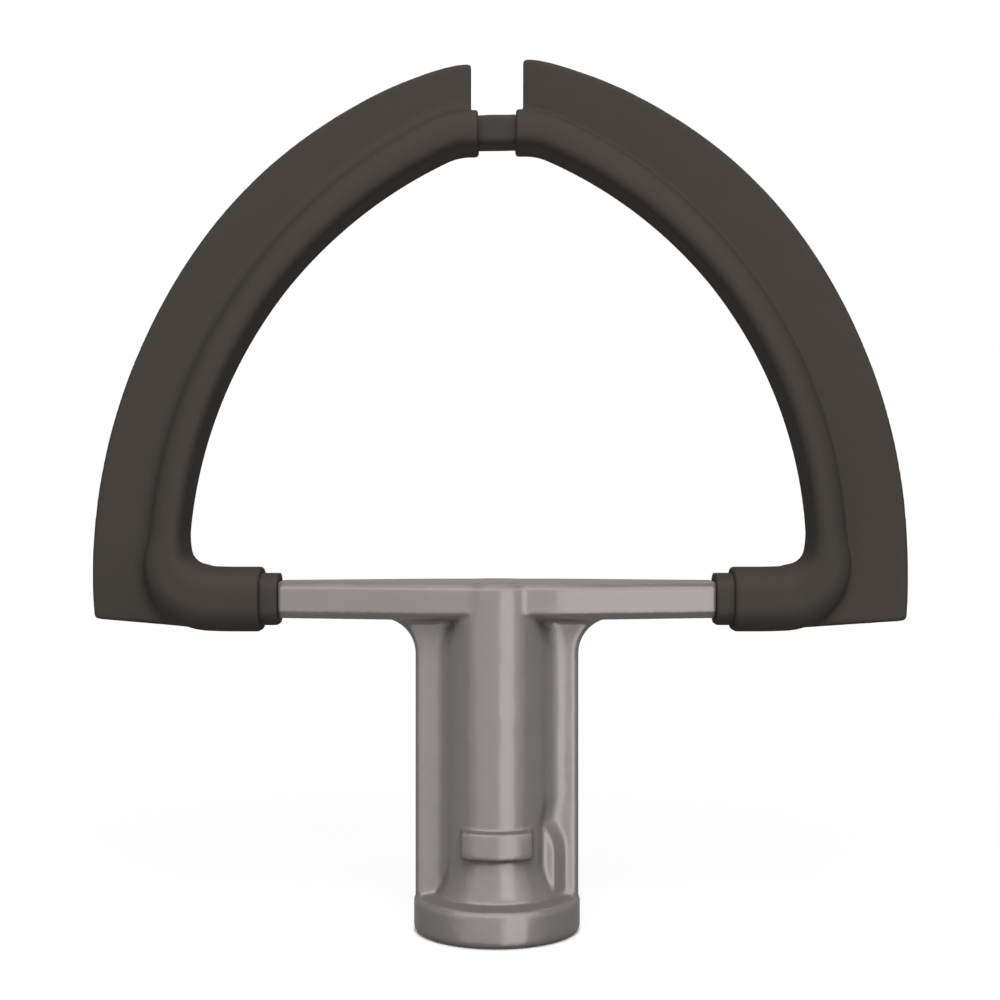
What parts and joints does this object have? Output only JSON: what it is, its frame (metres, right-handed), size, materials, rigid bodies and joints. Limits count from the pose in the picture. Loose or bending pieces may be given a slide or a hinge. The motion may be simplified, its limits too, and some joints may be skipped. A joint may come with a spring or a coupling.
{
  "type": "stand mixer flat beater",
  "caption": "Flat beater for a stand mixer: cast hub with a shaft socket, crossbar, and a bowed moulded arch with soft wiper edges.",
  "frame": {"origin": "centre of the hub's mouth, where the mixer's shaft enters", "axes": "+Z from the mouth to the tip of the arch, X across the arch, -Y the front"},
  "size_m": [0.1326, 0.027, 0.141],
  "materials": {
    "cast_metal": "satin coated casting, warm grey",
    "moulded_core": "fine matte moulding, dark grey-brown",
    "soft_edge": "matte silicone, dark grey-brown"
  },
  "bodies": {
    "root": {"hub_casting": "cast_metal", "arch_core": "moulded_core", "wiper_edge_left": "soft_edge", "wiper_edge_right": "soft_edge"}
  },
  "joints": []
}
